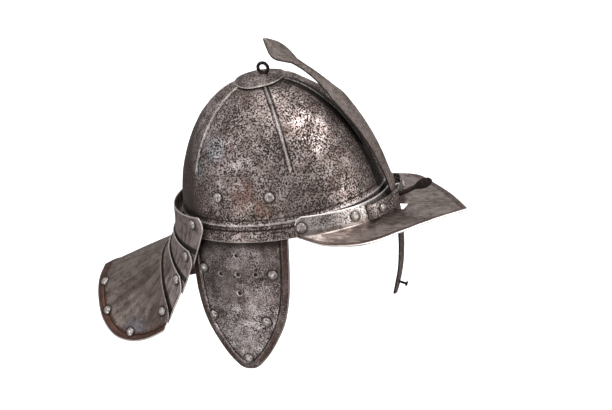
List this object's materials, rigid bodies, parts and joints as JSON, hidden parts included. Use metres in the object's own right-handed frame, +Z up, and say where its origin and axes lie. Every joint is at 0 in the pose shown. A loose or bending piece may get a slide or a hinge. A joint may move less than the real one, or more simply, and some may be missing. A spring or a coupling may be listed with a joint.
{
  "type": "lobster-tail helmet",
  "caption": "Hussar lobster-tail helmet: ribbed steel skull, pointed peak, sliding nasal bar with wing screw, three neck lames with a flared tail plate, and one cheek piece.",
  "frame": {"origin": "centre of the skull's rim plane, where the head goes in", "axes": "+X to the wearer's front, +Y to the wearer's left, +Z up through the crown"},
  "size_m": [0.4055, 0.188, 0.3241],
  "materials": {
    "pitted_steel": "old pitted steel with dark rust specks",
    "pale_steel": "worn grey-brown steel, satin",
    "brown_steel": "browned steel, satin",
    "dark_iron": "blackened iron",
    "rivet_steel": "rubbed rivet heads",
    "leather": "old dark leather"
  },
  "bodies": {
    "root": {"skull": "pitted_steel", "crown_cap": "brown_steel", "hanging_eye": "dark_iron", "peak": "pale_steel", "nasal_bracket": "pitted_steel", "neck_lame_1": "brown_steel", "neck_lame_2": "brown_steel", "neck_lame_3": "brown_steel", "tail_plate": "brown_steel", "cheek_piece": "pitted_steel", "cheek_hanger": "leather", "peak_rivet_right_end": "rivet_steel", "peak_rivet_right": "rivet_steel", "peak_rivet_left": "rivet_steel", "peak_rivet_left_end": "rivet_steel", "bracket_rivet_right": "rivet_steel", "bracket_rivet_left": "rivet_steel", "lame_rivet_1_right": "rivet_steel", "lame_rivet_2_right": "rivet_steel", "lame_rivet_3_right": "rivet_steel", "tail_rivet_1_right": "rivet_steel", "tail_rivet_2_right": "rivet_steel", "tail_rivet_3_right": "rivet_steel", "tail_rivet_4_right": "rivet_steel", "lame_rivet_1_left": "rivet_steel", "lame_rivet_2_left": "rivet_steel", "lame_rivet_3_left": "rivet_steel", "tail_rivet_1_left": "rivet_steel", "tail_rivet_2_left": "rivet_steel", "tail_rivet_3_left": "rivet_steel", "tail_rivet_4_left": "rivet_steel", "cheek_rivet_upper_rear": "rivet_steel", "cheek_rivet_upper_front": "rivet_steel", "cheek_rivet_lower_rear": "rivet_steel", "cheek_rivet_lower_front": "rivet_steel", "cheek_rivet_tip": "rivet_steel", "skull_rivet_rear_right": "rivet_steel", "skull_rivet_front_right": "rivet_steel", "skull_rivet_rear_left": "rivet_steel", "skull_rivet_front_left": "rivet_steel"},
    "nasal": {"nasal_bar": "brown_steel", "stop_pin": "dark_iron"},
    "screw": {"wing_screw": "dark_iron"}
  },
  "joints": [
    {"name": "nasal_slide", "type": "hinge", "parent": "root", "child": "nasal", "pos_m": [-0.0933, 0, -0.0098], "axis": [0, 1, 0], "range_deg": [-19, 9]},
    {"name": "screw_turn", "type": "hinge", "parent": "root", "child": "screw", "pos_m": [0.1229, 0, 0.005], "axis": [0.9397, 0, 0.342], "range_deg": [-180, 180]}
  ]
}
